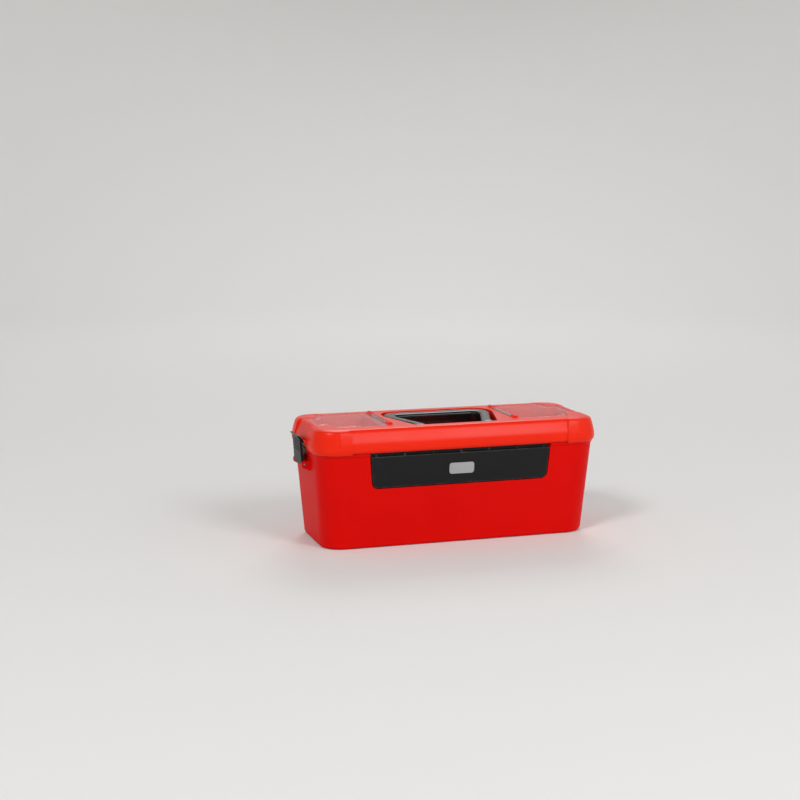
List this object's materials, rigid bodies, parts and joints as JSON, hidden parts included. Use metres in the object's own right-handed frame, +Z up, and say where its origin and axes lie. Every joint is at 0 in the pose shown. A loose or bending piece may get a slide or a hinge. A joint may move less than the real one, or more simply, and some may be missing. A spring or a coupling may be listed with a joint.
{
  "type": "toy tool box",
  "caption": "Toy tool box: tub with front panel, lift-out tray, lift-off lid with folding handle and hinged clear organiser covers, end latches.",
  "frame": {"origin": "middle of the base, on the surface the box stands on", "axes": "+X along the length towards the right-hand end seen from the front, +Y from the front panel to the back, +Z up"},
  "size_m": [0.3662, 0.141, 0.1418],
  "materials": {
    "tub_red": "red moulded polypropylene, satin gloss",
    "lid_red": "bright red moulded polypropylene, satin gloss",
    "black": "black moulded polypropylene, satin",
    "clear": "clear moulded polystyrene",
    "steel": "plain steel wire pin",
    "badge_grey": "plain grey plate with nothing on it"
  },
  "bodies": {
    "tub": {"body_shell": "tub_red", "front_panel": "black", "badge_plate": "badge_grey", "latch_pin_right": "steel", "latch_pin_left": "steel"},
    "tray": {"tool_tray": "black"},
    "lid": {"lid_shell": "lid_red", "handle_pin_right": "steel", "handle_pin_left": "steel", "cover_pin_right": "steel", "cover_pin_left": "steel"},
    "carry_handle": {"handle": "black"},
    "right_cover": {"cover_right": "clear"},
    "left_cover": {"cover_left": "clear"},
    "right_latch": {"latch_right": "black"},
    "left_latch": {"latch_left": "black"}
  },
  "joints": [
    {"name": "tray_lift", "type": "slide", "parent": "tub", "child": "tray", "axis": [0, 0, 1], "range_m": [0, 0.1]},
    {"name": "lid_lift", "type": "slide", "parent": "tray", "child": "lid", "axis": [0, 0, 1], "range_m": [0, 0.1]},
    {"name": "handle_fold", "type": "hinge", "parent": "lid", "child": "carry_handle", "pos_m": [0, -0.03785, 0.131], "axis": [1, 0, 0], "range_deg": [0, 95]},
    {"name": "cover_right_hinge", "type": "hinge", "parent": "lid", "child": "right_cover", "pos_m": [0.0774, 0.0058, 0.1382], "axis": [0, -1, 0], "range_deg": [0, 95]},
    {"name": "cover_left_hinge", "type": "hinge", "parent": "lid", "child": "left_cover", "pos_m": [-0.0774, 0.0058, 0.1382], "axis": [0, 1, 0], "range_deg": [0, 95]},
    {"name": "latch_right_swing", "type": "hinge", "parent": "tub", "child": "right_latch", "pos_m": [0.1748, 0, 0.095], "axis": [0, 1, 0], "range_deg": [-4, 36]},
    {"name": "latch_left_swing", "type": "hinge", "parent": "tub", "child": "left_latch", "pos_m": [-0.1748, 0, 0.095], "axis": [0, -1, 0], "range_deg": [-4, 36]}
  ]
}
